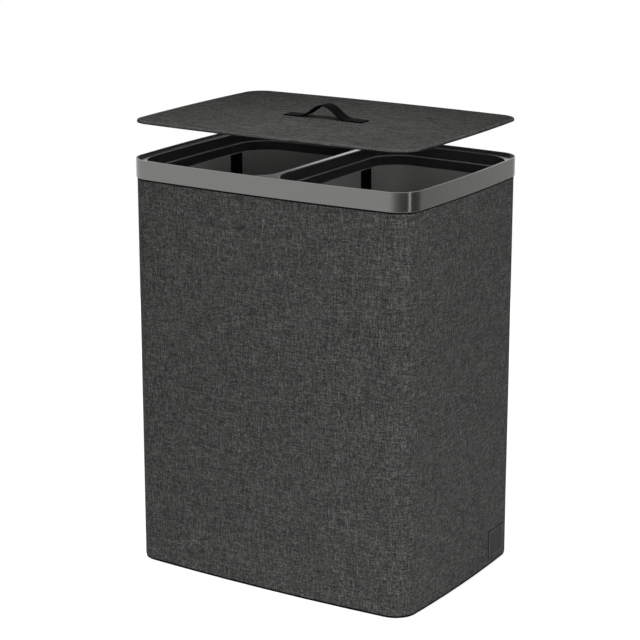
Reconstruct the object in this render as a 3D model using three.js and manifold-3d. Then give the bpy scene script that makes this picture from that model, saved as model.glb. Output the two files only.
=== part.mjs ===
// Laundry hamper with two lift-out bins, a satin metal rim and a lift-off lid with a webbing handle.
// Millimetres, +Z up. The origin is on the floor under the middle of the hamper, and the front faces -Y.
import * as THREE from 'three';
import { mergeVertices } from 'three/addons/utils/BufferGeometryUtils.js';
import Module from 'manifold-3d';

const wasm = await Module();
wasm.setup();

// Driving sizes of the whole hamper
const hamperWidth = 510;
const hamperDepth = 368;
const rimHeight = 660;
const cornerRadius = 36;
const longSideRadius = 3600;
const shortSideRadius = 2400;
const lidLift = 56;

// Fits: what touches keeps the seat gap, and what slides has its own clearance
const seatGap = 0.3;
const lidClearance = 0.5;
const binClearance = 1.2;
const cutOverrun = 2;

// Base: a moulded tray on four rubber feet
const footRadius = 12;
const footStand = 1.6;
const footRecess = 0.8;
const footBevel = 0.5;
const footInset = 46;
const trayThickness = 2.8;
const trayEdgeInset = 0.5;
const trayWallHeight = 12;
const trayWallThickness = 2;
const trayWallCornerRadius = 52;

// Walls: four boards, four moulded corner posts and the fabric cover around them
const coverThickness = 1;
const boardThickness = 3;
const postWingThickness = 2.5;
const postWingLength = 14;
const postBossRadius = 5.5;
const postBossHeight = 22;

// Screws that hold the tray to the corner posts
const screwRadius = 1.8;
const screwHeadRadius = 3.6;
const screwHeadHeight = 1.6;
const screwLength = 16;

// Stitched patch low on the right side, left bare
const patchWidth = 54;
const patchHeight = 46;
const patchThickness = 1;
const patchBottom = 14;
const patchFromBack = 70;

// Rim: a metal band around a moulded frame with a ledge for the lid and two openings for the bins
const bandHeight = 30;
const bandThickness = 1.2;
const bandStand = 1.8;
const skirtHeight = 32;
const rimWallThickness = 0.8;
const rimWallDrop = 0.6;
const ledgeDrop = 5;
const ledgeThickness = 3;
const openingInset = 7;
const openingCornerRadius = 55;
const crossBarWidth = 10;
const lipWidth = 3.5;
const lipThickness = 3;

// Bins: a hoop that rests on the frame's lip, with a fabric bag, a base board and webbing
const hoopDrop = 17;
const hoopHeight = 17;
const hoopThickness = 2.2;
const hoopFlangeThickness = 2;
const bagClearance = 1.5;
const bagThickness = 1.2;
const binBoardThickness = 2.5;
const binBoardGap = 1;
const webbingWidth = 30;
const webbingThickness = 1.2;
const webbingFromEnd = 82;

// Lid: a board between two cloths with a bound edge, and a webbing handle through two slits
const lidHeight = 4.2;
const bindingThickness = 0.6;
const lidClothThickness = 0.8;
const lidLiningThickness = 0.6;
const lidClothDrop = 0.2;
const handleWidth = 25;
const handleThickness = 1.6;
const handleRise = 20;
const handleFlat = 26;
const footBendShare = 0.6;
const crownBendShare = 0.36;
const slitMiddle = 70;
const slitClearance = 0.6;
const handleTail = 22;
const anchorWidth = 16;
const anchorLength = 50;
const anchorThickness = 2;
const rivetRadius = 1.5;
const rivetHeadRadius = 3.4;
const rivetHeadHeight = 1.1;

// Faces along the curves, and round small turned pieces
const sideSteps = 6;
const cornerSteps = 7;
const roundSteps = 20;
const handleSteps = 8;
const weldShare = 1e-5;

// Levels
const trayTop = footStand + trayThickness;
const wallBottom = trayTop + seatGap;
const ledgeTop = rimHeight - ledgeDrop;
const ledgeUnder = ledgeTop - ledgeThickness;
const boardTop = ledgeUnder - seatGap;
const skirtBottom = rimHeight - skirtHeight;
const hoopTop = ledgeTop - hoopDrop;
const hoopBottom = hoopTop - hoopHeight;
const lipTop = hoopBottom - seatGap;
const frameBottom = lipTop - lipThickness;
const lidBottom = rimHeight + lidLift;

// Places along the short sides
const patchMiddle = hamperDepth / 2 - patchFromBack;
const webbingMiddle = hamperDepth / 2 - webbingFromEnd;

// Insets from the cover's outside; a negative one stands out
const frameOutside = -(bandStand - bandThickness - seatGap);
const recessInset = frameOutside + rimWallThickness;
const lidInset = recessInset + lidClearance;
const boardInset = coverThickness + seatGap;
const boardInside = boardInset + boardThickness;
const skirtInside = boardInset - seatGap;
const wingInset = boardInside + seatGap;
const wingInside = wingInset + postWingThickness;
const trayWallInset = wingInside + seatGap;

// Materials
const finish = (color, roughness, metalness) =>
  new THREE.MeshStandardMaterial({ color, roughness, metalness });
const finishes = {
  cover: finish('#3f3f3f', 0.95, 0),
  band: finish('#7a7a78', 0.4, 1),
  blackPlastic: finish('#141414', 0.4, 0),
  board: finish('#8a7a62', 0.85, 0),
  rubber: finish('#1b1b1b', 0.9, 0),
  steel: finish('#9a9a9a', 0.35, 1),
  lining: finish('#4a4a49', 0.95, 0),
  webbing: finish('#121212', 0.85, 0),
  lidCloth: finish('#4b4b4a', 0.95, 0),
  binding: finish('#202020', 0.9, 0),
  patch: finish('#383837', 0.7, 0),
};

// Plan outlines: bowed sides joined by tangent corner arcs
const arcPoint = (arc, angle, inset) => new THREE.Vector2(
  arc.centre.x + (arc.radius - inset) * Math.cos(angle),
  arc.centre.y + (arc.radius - inset) * Math.sin(angle),
);

function arcPoints(arc, inset, from = arc.from, to = arc.to) {
  const points = [];
  for (let step = 0; step <= arc.steps; step += 1) {
    points.push(arcPoint(arc, from + (to - from) * step / arc.steps, inset));
  }
  return points;
}

const turned = (arc) => ({
  ...arc,
  centre: arc.centre.clone().negate(),
  from: arc.from + Math.PI,
  to: arc.to + Math.PI,
});

const mirrored = (arc) => ({
  ...arc,
  centre: new THREE.Vector2(-arc.centre.x, arc.centre.y),
  from: Math.PI - arc.to,
  to: Math.PI - arc.from,
});

// The back side and the right side of a plan at an inset, as whole circles
const backCircle = (inset) => ({
  centre: new THREE.Vector2(0, hamperDepth / 2 - longSideRadius),
  radius: longSideRadius - inset,
});
const rightCircle = (inset) => ({
  centre: new THREE.Vector2(hamperWidth / 2 - shortSideRadius, 0),
  radius: shortSideRadius - inset,
});

// A corner arc of a given radius that touches both circles from inside
function cornerBetween(right, back, radius) {
  const reachBack = back.radius - radius;
  const reachRight = right.radius - radius;
  const span = right.centre.clone().sub(back.centre);
  const along = (reachBack ** 2 - reachRight ** 2 + span.lengthSq()) / (2 * span.length());
  const across = Math.sqrt(reachBack ** 2 - along ** 2);
  const direction = span.clone().normalize();
  const centre = back.centre.clone()
    .addScaledVector(direction, along)
    .add(new THREE.Vector2(direction.y, -direction.x).multiplyScalar(across));
  return {
    centre,
    radius,
    from: centre.clone().sub(right.centre).angle(),
    to: centre.clone().sub(back.centre).angle(),
    steps: cornerSteps,
  };
}

// Eight arcs, counter-clockwise from the right side
function planArcs(inset, radius) {
  const right = rightCircle(inset);
  const back = backCircle(inset);
  const corner = cornerBetween(right, back, radius);
  const rightSide = { ...right, from: -corner.from, to: corner.from, steps: sideSteps };
  const backSide = { ...back, from: corner.to, to: Math.PI - corner.to, steps: sideSteps };
  const half = [rightSide, corner, backSide, mirrored(corner)];
  return [...half, ...half.map(turned)];
}

// Where one arc ends on the next one's start, the outline keeps that point once
function outlineOf(arcs, inset = 0) {
  const points = arcs.flatMap((arc) => arcPoints(arc, inset));
  return points.filter((point, place) => {
    const last = points[(place + points.length - 1) % points.length];
    return point.distanceTo(last) > weldShare * hamperWidth;
  });
}

const hamperArcs = planArcs(0, cornerRadius);
const hamperOutline = (inset) => outlineOf(hamperArcs, inset);

// One bin opening: the plan's own sides outside, and a straight side along the cross bar
function openingArcs() {
  const right = rightCircle(openingInset);
  const back = backCircle(openingInset);
  const corner = cornerBetween(right, back, openingCornerRadius);
  const barCornerX = crossBarWidth / 2 + openingCornerRadius;
  const reach = back.radius - openingCornerRadius;
  const barCorner = {
    centre: new THREE.Vector2(barCornerX, back.centre.y + Math.sqrt(reach ** 2 - barCornerX ** 2)),
    radius: openingCornerRadius,
    from: Math.acos(barCornerX / reach),
    to: Math.PI,
    steps: cornerSteps,
  };
  const backSide = { ...back, from: corner.to, to: barCorner.from, steps: sideSteps };
  const flipped = (arc) => turned(mirrored(arc));
  return [
    { ...right, from: -corner.from, to: corner.from, steps: sideSteps },
    corner,
    backSide,
    barCorner,
    flipped(barCorner),
    flipped(backSide),
    flipped(corner),
  ];
}

const rightOpeningArcs = openingArcs();

// Side is 1 for the right bin and -1 for the left one
function openingOutline(side, inset) {
  const points = outlineOf(rightOpeningArcs, inset);
  return side > 0 ? points : points.map((point) => new THREE.Vector2(-point.x, point.y)).reverse();
}

// Solids
function shapeOf(outer, ...holes) {
  const shape = new THREE.Shape(outer);
  for (const hole of holes) {
    shape.holes.push(new THREE.Path(hole));
  }
  return shape;
}

function slab(shape, bottom, top) {
  const geometry = new THREE.ExtrudeGeometry(shape, { depth: top - bottom, bevelEnabled: false });
  return geometry.translate(0, 0, bottom);
}

const circle = (x, y, radius) => {
  const points = [];
  for (let step = 0; step < roundSteps; step += 1) {
    const angle = 2 * Math.PI * step / roundSteps;
    points.push(new THREE.Vector2(x + radius * Math.cos(angle), y + radius * Math.sin(angle)));
  }
  return points;
};

const rectangle = (x, y, width, depth) => [
  new THREE.Vector2(x - width / 2, y - depth / 2),
  new THREE.Vector2(x + width / 2, y - depth / 2),
  new THREE.Vector2(x + width / 2, y + depth / 2),
  new THREE.Vector2(x - width / 2, y + depth / 2),
];

// A solid turned about an upright axis, from a profile of [radius, height] that ends on the axis
function turnedSolid(profile, x, y) {
  const points = profile.map(([radius, height]) => new THREE.Vector2(radius, height));
  return new THREE.LatheGeometry(points, roundSteps).rotateX(Math.PI / 2).translate(x, y, 0);
}

function toManifold(geometry) {
  const bare = geometry.clone();
  bare.deleteAttribute('normal');
  bare.deleteAttribute('uv');
  const welded = mergeVertices(bare, weldShare * hamperWidth);
  return new wasm.Manifold(new wasm.Mesh({
    numProp: 3,
    vertProperties: new Float32Array(welded.attributes.position.array),
    triVerts: new Uint32Array(welded.index.array),
  }));
}

function fromManifold(solid) {
  const mesh = solid.getMesh();
  const geometry = new THREE.BufferGeometry();
  geometry.setAttribute('position', new THREE.BufferAttribute(mesh.vertProperties, mesh.numProp));
  geometry.setIndex(new THREE.BufferAttribute(mesh.triVerts, 1));
  geometry.computeVertexNormals();
  return geometry;
}

const joined = (geometries) =>
  fromManifold(geometries.map(toManifold).reduce((whole, next) => whole.add(next)));
const cutBy = (geometry, cutters) =>
  fromManifold(cutters.map(toManifold).reduce((whole, next) => whole.subtract(next), toManifold(geometry)));

const hamper = new THREE.Group();

function piece(group, name, geometry, material) {
  const mesh = new THREE.Mesh(geometry, material);
  mesh.name = name;
  group.add(mesh);
}

// Base tray, feet and screws
const corners = [
  ['front_right', 1, -1],
  ['back_right', 1, 1],
  ['back_left', -1, 1],
  ['front_left', -1, -1],
];
const cornerArc = hamperArcs[1];
const bossReach = cornerArc.radius - boardInside - postBossRadius;
const bossX = cornerArc.centre.x + bossReach * Math.SQRT1_2;
const bossY = cornerArc.centre.y + bossReach * Math.SQRT1_2;
const footX = hamperWidth / 2 - footInset;
const footY = hamperDepth / 2 - footInset;
const screwTop = footStand + screwLength;

// A countersunk screw, and the hole that it goes in
const screwProfile = [
  [0, footStand],
  [screwHeadRadius, footStand],
  [screwRadius, footStand + screwHeadHeight],
  [screwRadius, screwTop],
  [0, screwTop],
];
const screwHoleProfile = [
  [0, footStand - cutOverrun],
  [screwHeadRadius + seatGap, footStand - cutOverrun],
  [screwHeadRadius + seatGap, footStand + seatGap],
  [screwRadius + seatGap, footStand + screwHeadHeight + seatGap],
  [screwRadius + seatGap, screwTop + seatGap],
  [0, screwTop + seatGap],
];

function makeBase(group) {
  const wallArcs = planArcs(trayWallInset, trayWallCornerRadius);
  const tray = joined([
    slab(shapeOf(hamperOutline(trayEdgeInset)), footStand, trayTop),
    slab(
      shapeOf(outlineOf(wallArcs), outlineOf(wallArcs, trayWallThickness)),
      footStand + footRecess + seatGap,
      trayTop + trayWallHeight,
    ),
  ]);
  const cutters = corners.flatMap(([, sideX, sideY]) => [
    turnedSolid(screwHoleProfile, sideX * bossX, sideY * bossY),
    slab(shapeOf(circle(sideX * footX, sideY * footY, footRadius + seatGap)),
      footStand - cutOverrun, footStand + footRecess + seatGap),
  ]);
  piece(group, 'base_tray', cutBy(tray, cutters), finishes.blackPlastic);

  for (const [corner, sideX, sideY] of corners) {
    const foot = [
      [0, 0],
      [footRadius - footBevel, 0],
      [footRadius, footBevel],
      [footRadius, footStand + footRecess],
      [0, footStand + footRecess],
    ];
    piece(group, `foot_${corner}`, turnedSolid(foot, sideX * footX, sideY * footY), finishes.rubber);
    const screw = turnedSolid(screwProfile, sideX * bossX, sideY * bossY);
    piece(group, `base_screw_${corner}`, screw, finishes.steel);
  }
}

// A strip along one arc, between two insets
const stripShape = (arc, outside, inside, from, to) => shapeOf([
  ...arcPoints(arc, outside, from, to),
  ...arcPoints(arc, inside, from, to).reverse(),
]);

// Boards, corner posts, cover and patch
function makeWalls(group) {
  const boards = [['right_board', 0], ['back_board', 2], ['left_board', 4], ['front_board', 6]];
  for (const [name, index] of boards) {
    const arc = hamperArcs[index];
    const trim = seatGap / arc.radius;
    const shape = stripShape(arc, boardInset, boardInside, arc.from + trim, arc.to - trim);
    piece(group, name, slab(shape, wallBottom, boardTop), finishes.board);
  }

  corners.forEach(([corner, sideX, sideY]) => {
    const arc = hamperArcs.find((one) => one.steps === cornerSteps
      && Math.sign(one.centre.x) === sideX && Math.sign(one.centre.y) === sideY);
    const place = hamperArcs.indexOf(arc);
    const before = hamperArcs[(place + hamperArcs.length - 1) % hamperArcs.length];
    const after = hamperArcs[(place + 1) % hamperArcs.length];
    const wingStart = before.to - postWingLength / before.radius;
    const wingEnd = after.from + postWingLength / after.radius;
    const outer = stripShape(arc, boardInset, boardInside, arc.from, arc.to);
    const wings = shapeOf([
      arcPoint(before, wingStart, wingInset),
      ...arcPoints(arc, wingInset),
      arcPoint(after, wingEnd, wingInset),
      arcPoint(after, wingEnd, wingInside),
      ...arcPoints(arc, wingInside).reverse(),
      arcPoint(before, wingStart, wingInside),
    ]);
    const web = stripShape(arc, boardInside - seatGap, wingInset + seatGap, arc.from, arc.to);
    const wingTop = frameBottom - seatGap;
    const post = joined([
      slab(outer, wallBottom, boardTop),
      slab(web, wallBottom, wingTop),
      slab(wings, wallBottom, wingTop),
      slab(shapeOf(circle(sideX * bossX, sideY * bossY, postBossRadius)),
        wallBottom, wallBottom + postBossHeight),
    ]);
    const hole = turnedSolid(screwHoleProfile, sideX * bossX, sideY * bossY);
    piece(group, `corner_post_${corner}`, cutBy(post, [hole]), finishes.blackPlastic);
  });

  const coverShape = shapeOf(hamperOutline(0), hamperOutline(coverThickness));
  piece(group, 'fabric_cover', slab(coverShape, wallBottom, skirtBottom - seatGap), finishes.cover);

  const side = hamperArcs[0];
  const patchFrom = (patchMiddle - patchWidth / 2) / side.radius;
  const patchTo = (patchMiddle + patchWidth / 2) / side.radius;
  const patch = stripShape(side, -seatGap - patchThickness, -seatGap, patchFrom, patchTo);
  piece(group, 'side_patch', slab(patch, patchBottom, patchBottom + patchHeight), finishes.patch);
}

// Metal band and the frame under it
function makeRim(group) {
  const band = shapeOf(hamperOutline(-bandStand), hamperOutline(bandThickness - bandStand));
  piece(group, 'rim_band', slab(band, rimHeight - bandHeight, rimHeight), finishes.band);

  const openings = (inset) => [openingOutline(1, inset), openingOutline(-1, inset)];
  const insideLedge = ledgeTop - ledgeThickness / 2;
  const frame = joined([
    slab(shapeOf(hamperOutline(frameOutside), ...openings(0)), ledgeUnder, ledgeTop),
    slab(shapeOf(hamperOutline(frameOutside), hamperOutline(recessInset)),
      insideLedge, rimHeight - rimWallDrop),
    slab(shapeOf(hamperOutline(frameOutside), hamperOutline(skirtInside)), skirtBottom, insideLedge),
    slab(shapeOf(hamperOutline(wingInset), ...openings(0)), frameBottom, insideLedge),
    slab(shapeOf(hamperOutline(wingInset), ...openings(lipWidth)), frameBottom, lipTop),
  ]);
  piece(group, 'rim_frame', frame, finishes.blackPlastic);
}

// One bin: hoop, bag, base board and four webbing straps
function makeBin(name, side) {
  const bin = new THREE.Group();
  const bagInset = lipWidth + bagClearance;
  const bagInside = bagInset + bagThickness;
  const flangeInside = bagInset - seatGap;
  const hoopInside = binClearance + hoopThickness;
  const hoop = joined([
    slab(shapeOf(openingOutline(side, binClearance), openingOutline(side, hoopInside)),
      hoopBottom, hoopTop),
    slab(shapeOf(openingOutline(side, binClearance), openingOutline(side, flangeInside)),
      hoopBottom, hoopBottom + hoopFlangeThickness),
  ]);
  piece(bin, `${name}_hoop`, hoop, finishes.blackPlastic);

  const bagTop = hoopBottom + hoopFlangeThickness;
  const bagFloor = wallBottom + bagThickness;
  const bag = joined([
    slab(shapeOf(openingOutline(side, bagInset), openingOutline(side, bagInside)), wallBottom, bagTop),
    slab(shapeOf(openingOutline(side, bagInset)), wallBottom, bagFloor),
  ]);
  piece(bin, `${name}_bag`, bag, finishes.lining);

  const boardBottom = bagFloor + seatGap;
  const board = shapeOf(openingOutline(side, bagInside + binBoardGap));
  piece(bin, `${name}_base_board`, slab(board, boardBottom, boardBottom + binBoardThickness), finishes.board);

  const strapOutside = bagInside + seatGap;
  const strapInside = strapOutside + webbingThickness;
  const strapBottom = boardBottom + binBoardThickness + seatGap;
  const outerSide = side > 0 ? rightOpeningArcs[0] : turned(rightOpeningArcs[0]);
  const squareOut = (outerSide.from + outerSide.to) / 2;
  const middleX = side * (crossBarWidth / 2 + (strapOutside + strapInside) / 2);
  for (const [end, sideY] of [['front', -1], ['back', 1]]) {
    const along = side * sideY * webbingMiddle;
    const from = squareOut + (along - webbingWidth / 2) / outerSide.radius;
    const to = squareOut + (along + webbingWidth / 2) / outerSide.radius;
    const shapes = {
      outer: stripShape(outerSide, strapOutside, strapInside, from, to),
      middle: shapeOf(rectangle(middleX, sideY * webbingMiddle, webbingThickness, webbingWidth)),
    };
    for (const [place, shape] of Object.entries(shapes)) {
      piece(bin, `${name}_webbing_${place}_${end}`, slab(shape, strapBottom, bagTop), finishes.webbing);
    }
  }
  return bin;
}

// A ribbon of even thickness along a line of points in the XZ plane, as wide as asked along Y
function ribbon(points, thickness, width) {
  const normals = points.map((point, place) => {
    const last = points[Math.max(place - 1, 0)];
    const next = points[Math.min(place + 1, points.length - 1)];
    const arrive = (place > 0 ? point.clone().sub(last) : next.clone().sub(point)).normalize();
    const leave = (place < points.length - 1 ? next.clone().sub(point) : arrive.clone()).normalize();
    const across = new THREE.Vector2(-arrive.y - leave.y, arrive.x + leave.x);
    return across.divideScalar(1 + arrive.dot(leave));
  });
  const offset = (sign) => points.map((point, place) =>
    point.clone().addScaledVector(normals[place], sign * thickness / 2));
  const shape = shapeOf([...offset(-1), ...offset(1).reverse()]);
  const geometry = new THREE.ExtrudeGeometry(shape, { depth: width, bevelEnabled: false });
  return geometry.rotateX(Math.PI / 2).translate(0, width / 2, 0);
}

// Lid board, cloths, bound edge, handle, anchor plates and rivets
function makeLid() {
  const lid = new THREE.Group();
  const clothInset = lidInset + bindingThickness + seatGap;
  const liningBottom = lidBottom + lidClothDrop;
  const coreBottom = liningBottom + lidLiningThickness;
  const clothTop = lidBottom + lidHeight - lidClothDrop;
  const coreTop = clothTop - lidClothThickness;
  const handleHalf = handleThickness / 2;
  const slitHalf = handleHalf + slitClearance;
  const rivetY = handleWidth / 2 + (anchorLength - handleWidth) / 4;
  const anchorX = slitMiddle + slitHalf + anchorWidth / 2;
  const throughLid = (outline) =>
    slab(shapeOf(outline), liningBottom - cutOverrun, clothTop + cutOverrun);
  const slits = [1, -1].map((side) =>
    throughLid(rectangle(side * slitMiddle, 0, 2 * slitHalf, handleWidth + 2 * slitClearance)));
  const rivetPlaces = [[1, 1], [1, -1], [-1, -1], [-1, 1]]
    .map(([sideX, sideY]) => [sideX * anchorX, sideY * rivetY]);
  const rivetHoles = rivetPlaces.map(([x, y]) => throughLid(circle(x, y, rivetRadius + seatGap)));

  const layer = (bottom, top, cutters) =>
    cutBy(slab(shapeOf(hamperOutline(clothInset)), bottom, top), cutters);
  const binding = shapeOf(hamperOutline(lidInset), hamperOutline(lidInset + bindingThickness));
  piece(lid, 'lid_edge_binding', slab(binding, lidBottom, lidBottom + lidHeight), finishes.binding);
  piece(lid, 'lid_lining', layer(liningBottom, coreBottom, [...slits, ...rivetHoles]), finishes.lining);
  piece(lid, 'lid_board', layer(coreBottom, coreTop, [...slits, ...rivetHoles]), finishes.board);
  piece(lid, 'lid_cloth', layer(coreTop, clothTop, slits), finishes.lidCloth);

  const overLid = clothTop + seatGap + handleHalf;
  const underLid = liningBottom - seatGap - handleHalf;
  const flatEnd = slitMiddle - handleFlat;
  const arch = new THREE.CubicBezierCurve(
    new THREE.Vector2(flatEnd, overLid),
    new THREE.Vector2(flatEnd * footBendShare, overLid),
    new THREE.Vector2(flatEnd * crownBendShare, overLid + handleRise),
    new THREE.Vector2(0, overLid + handleRise),
  ).getPoints(handleSteps);
  const half = [
    new THREE.Vector2(slitMiddle + handleTail, underLid),
    new THREE.Vector2(slitMiddle, underLid),
    new THREE.Vector2(slitMiddle, overLid),
    ...arch,
  ];
  const otherHalf = half.slice(0, -1).map((point) => new THREE.Vector2(-point.x, point.y)).reverse();
  const handle = ribbon([...half, ...otherHalf], handleThickness, handleWidth);
  piece(lid, 'lid_handle', handle, finishes.webbing);

  const plateTop = liningBottom - seatGap;
  const channelTop = plateTop - handleThickness - seatGap;
  const plateBottom = channelTop - anchorThickness;
  const channelHalf = handleWidth / 2 + seatGap;
  for (const [name, side] of [['right', 1], ['left', -1]]) {
    const profile = shapeOf([
      new THREE.Vector2(-anchorLength / 2, plateBottom),
      new THREE.Vector2(anchorLength / 2, plateBottom),
      new THREE.Vector2(anchorLength / 2, plateTop),
      new THREE.Vector2(channelHalf, plateTop),
      new THREE.Vector2(channelHalf, channelTop),
      new THREE.Vector2(-channelHalf, channelTop),
      new THREE.Vector2(-channelHalf, plateTop),
      new THREE.Vector2(-anchorLength / 2, plateTop),
    ]);
    const plate = new THREE.ExtrudeGeometry(profile, { depth: anchorWidth, bevelEnabled: false })
      .rotateX(Math.PI / 2)
      .rotateZ(Math.PI / 2)
      .translate(side * anchorX - anchorWidth / 2, 0, 0);
    const holes = rivetPlaces.filter(([x]) => Math.sign(x) === side).map(([x, y]) =>
      slab(shapeOf(circle(x, y, rivetRadius + seatGap)), plateBottom - cutOverrun, plateTop + cutOverrun));
    piece(lid, `handle_anchor_${name}`, cutBy(plate, holes), finishes.blackPlastic);
  }

  rivetPlaces.forEach(([x, y]) => {
    const headTop = plateBottom - seatGap;
    const rivet = turnedSolid([
      [0, headTop - rivetHeadHeight],
      [rivetHeadRadius, headTop - rivetHeadHeight],
      [rivetHeadRadius, headTop],
      [rivetRadius, headTop],
      [rivetRadius, coreTop - seatGap],
      [0, coreTop - seatGap],
    ], x, y);
    const name = `anchor_rivet_${y > 0 ? 'back' : 'front'}_${x > 0 ? 'right' : 'left'}`;
    piece(lid, name, rivet, finishes.steel);
  });
  return lid;
}

makeBase(hamper);
makeWalls(hamper);
makeRim(hamper);
hamper.add(makeBin('right_bin', 1), makeBin('left_bin', -1), makeLid());

export default hamper;
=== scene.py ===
# Laundry hamper with two lift-out bins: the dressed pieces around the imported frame.
# Metres, +Z up, front towards -Y. Plan places and directions are complex numbers, x + y * 1j.
import cmath
import math

import bmesh
import bpy
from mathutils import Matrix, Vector, noise
from mathutils.geometry import delaunay_2d_cdt, tessellate_polygon


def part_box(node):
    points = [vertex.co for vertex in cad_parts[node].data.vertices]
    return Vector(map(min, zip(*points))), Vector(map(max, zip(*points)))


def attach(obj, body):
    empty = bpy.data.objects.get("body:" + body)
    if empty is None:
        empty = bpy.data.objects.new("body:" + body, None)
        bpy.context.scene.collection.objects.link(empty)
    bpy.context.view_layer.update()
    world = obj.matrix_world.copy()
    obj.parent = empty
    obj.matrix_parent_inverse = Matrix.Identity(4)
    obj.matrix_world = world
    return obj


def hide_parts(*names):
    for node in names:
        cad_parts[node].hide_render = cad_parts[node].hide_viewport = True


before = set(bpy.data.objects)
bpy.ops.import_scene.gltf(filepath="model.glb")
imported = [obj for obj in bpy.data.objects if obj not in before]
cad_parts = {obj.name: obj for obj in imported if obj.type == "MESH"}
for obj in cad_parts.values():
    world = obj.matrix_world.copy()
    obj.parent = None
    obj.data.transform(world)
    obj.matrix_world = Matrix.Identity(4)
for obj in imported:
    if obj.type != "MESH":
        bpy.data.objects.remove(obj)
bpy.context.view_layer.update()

MM = 0.001


def levels_of(node):
    """The heights of a frame node's lowest and highest points."""
    return [corner.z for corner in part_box(node)]


# Plan of the hamper: bowed sides joined by corner arcs, as the frame has it
HALF_WIDTH, HALF_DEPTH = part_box("fabric_cover")[1].xy
CORNER_RADIUS = 36 * MM
LONG_SIDE_RADIUS = 3600 * MM
SHORT_SIDE_RADIUS = 2400 * MM
LONG_SIDE_CENTRE = complex(0, HALF_DEPTH - LONG_SIDE_RADIUS)
SHORT_SIDE_CENTRE = complex(HALF_WIDTH - SHORT_SIDE_RADIUS, 0)
OPENING_INSET = 7 * MM
OPENING_CORNER_RADIUS = 55 * MM
CROSS_BAR_WIDTH = 10 * MM

# Levels, read from the frame
COVER_BOTTOM, COVER_TOP = levels_of("fabric_cover")
BAND_BOTTOM, RIM_TOP = levels_of("rim_band")
FRAME_BOTTOM, FRAME_TOP = levels_of("rim_frame")
HOOP_BOTTOM, HOOP_TOP = levels_of("right_bin_hoop")
BAG_BOTTOM, BAG_TOP = levels_of("right_bin_bag")
BASE_BOTTOM, BASE_TOP = levels_of("right_bin_base_board")
STRAP_BOTTOM = levels_of("right_bin_webbing_outer_front")[0]
LID_BOTTOM = levels_of("lid_edge_binding")[0]
CLOTH_BOTTOM, CLOTH_TOP = levels_of("lid_cloth")
LINING_BOTTOM, LINING_TOP = levels_of("lid_lining")

# Gap between pieces that rest on each other without touching
SEAT_GAP = 0.3 * MM
# How deep a tape's hidden faces lie in what it covers
OVERLAP = 0.05 * MM
# Reach of a flat face's first quads past a fillet, which keeps its shading even
FLAT_MARGIN = 1 * MM

# Facets of the smooth pieces
SIDE_STEPS = 56
CORNER_STEPS = 20
OPENING_SIDE_STEPS = 26
ARC_STEPS = 4
ROUND_STEPS = 32
SHARP_ANGLE = math.radians(48)
# Distance from a fillet to the point beside it, as a share of the fillet's reach
SHOULDER_SHARE = 0.35


def even_steps(start, end, steps):
    return [start + (end - start) * step / steps for step in range(steps + 1)]


# Plan outlines: lists of stations, (place, outward direction), counter-clockwise
def arc(centre, radius, start, end, steps, ended=False):
    """Stations on an arc, without the last one unless it is asked for."""
    angles = even_steps(start, end, steps)[: steps + ended]
    return [(centre + cmath.rect(radius, angle), cmath.rect(1, angle)) for angle in angles]


def line(start, end, steps, ended=False):
    """Stations on a line, without the last one unless it is asked for."""
    out = (end - start) / abs(end - start) * -1j
    return [(place, out) for place in even_steps(start, end, steps)[: steps + ended]]


def corner_arc(inset, radius):
    """Centre and end angles of the corner that touches the right and the back side from inside."""
    reach_back = LONG_SIDE_RADIUS - inset - radius
    reach_right = SHORT_SIDE_RADIUS - inset - radius
    span = SHORT_SIDE_CENTRE - LONG_SIDE_CENTRE
    along = (reach_back**2 - reach_right**2 + abs(span) ** 2) / (2 * abs(span))
    across = math.sqrt(reach_back**2 - along**2)
    centre = LONG_SIDE_CENTRE + span / abs(span) * complex(along, -across)
    start = cmath.phase(centre - SHORT_SIDE_CENTRE)
    end = cmath.phase(centre - LONG_SIDE_CENTRE)
    return centre, start, end


def hamper_outline():
    centre, start, end = corner_arc(0, CORNER_RADIUS)
    half = [
        *arc(SHORT_SIDE_CENTRE, SHORT_SIDE_RADIUS, -start, start, SIDE_STEPS),
        *arc(centre, CORNER_RADIUS, start, end, CORNER_STEPS),
        *arc(LONG_SIDE_CENTRE, LONG_SIDE_RADIUS, end, math.pi - end, SIDE_STEPS),
        *arc(-centre.conjugate(), CORNER_RADIUS, math.pi - end, math.pi - start, CORNER_STEPS),
    ]
    return half + [(-place, -out) for place, out in half]


HAMPER_OUTLINE = hamper_outline()


def opening_outline(side):
    """The right opening, or for side -1 the left one, which is the right one turned half round."""
    radius = OPENING_CORNER_RADIUS
    long_radius = LONG_SIDE_RADIUS - OPENING_INSET
    centre, start, end = corner_arc(OPENING_INSET, radius)
    bar_x = CROSS_BAR_WIDTH / 2 + radius
    reach = long_radius - radius
    bar_start = math.acos(bar_x / reach)
    bar = complex(bar_x, LONG_SIDE_CENTRE.imag + math.sqrt(reach**2 - bar_x**2))
    bar_end = bar - radius
    steps = OPENING_SIDE_STEPS
    outline = [
        *arc(SHORT_SIDE_CENTRE, SHORT_SIDE_RADIUS - OPENING_INSET, -start, start, steps),
        *arc(centre, radius, start, end, CORNER_STEPS),
        *arc(LONG_SIDE_CENTRE, long_radius, end, bar_start, steps),
        *arc(bar, radius, bar_start, math.pi, CORNER_STEPS),
        *line(bar_end, bar_end.conjugate(), steps),
        *arc(bar.conjugate(), radius, math.pi, 2 * math.pi - bar_start, CORNER_STEPS),
        *arc(LONG_SIDE_CENTRE.conjugate(), long_radius, -bar_start, -end, steps),
        *arc(centre.conjugate(), radius, -end, -start, CORNER_STEPS),
    ]
    return [(side * place, side * out) for place, out in outline]


def distances(places):
    """How far along each place lies, and last the length all round."""
    covered = [0]
    for place, after in zip(places, places[1:] + places[:1]):
        covered.append(covered[-1] + abs(after - place))
    return covered


def length_round(outline):
    return distances([place for place, _ in outline])[-1]


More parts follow.
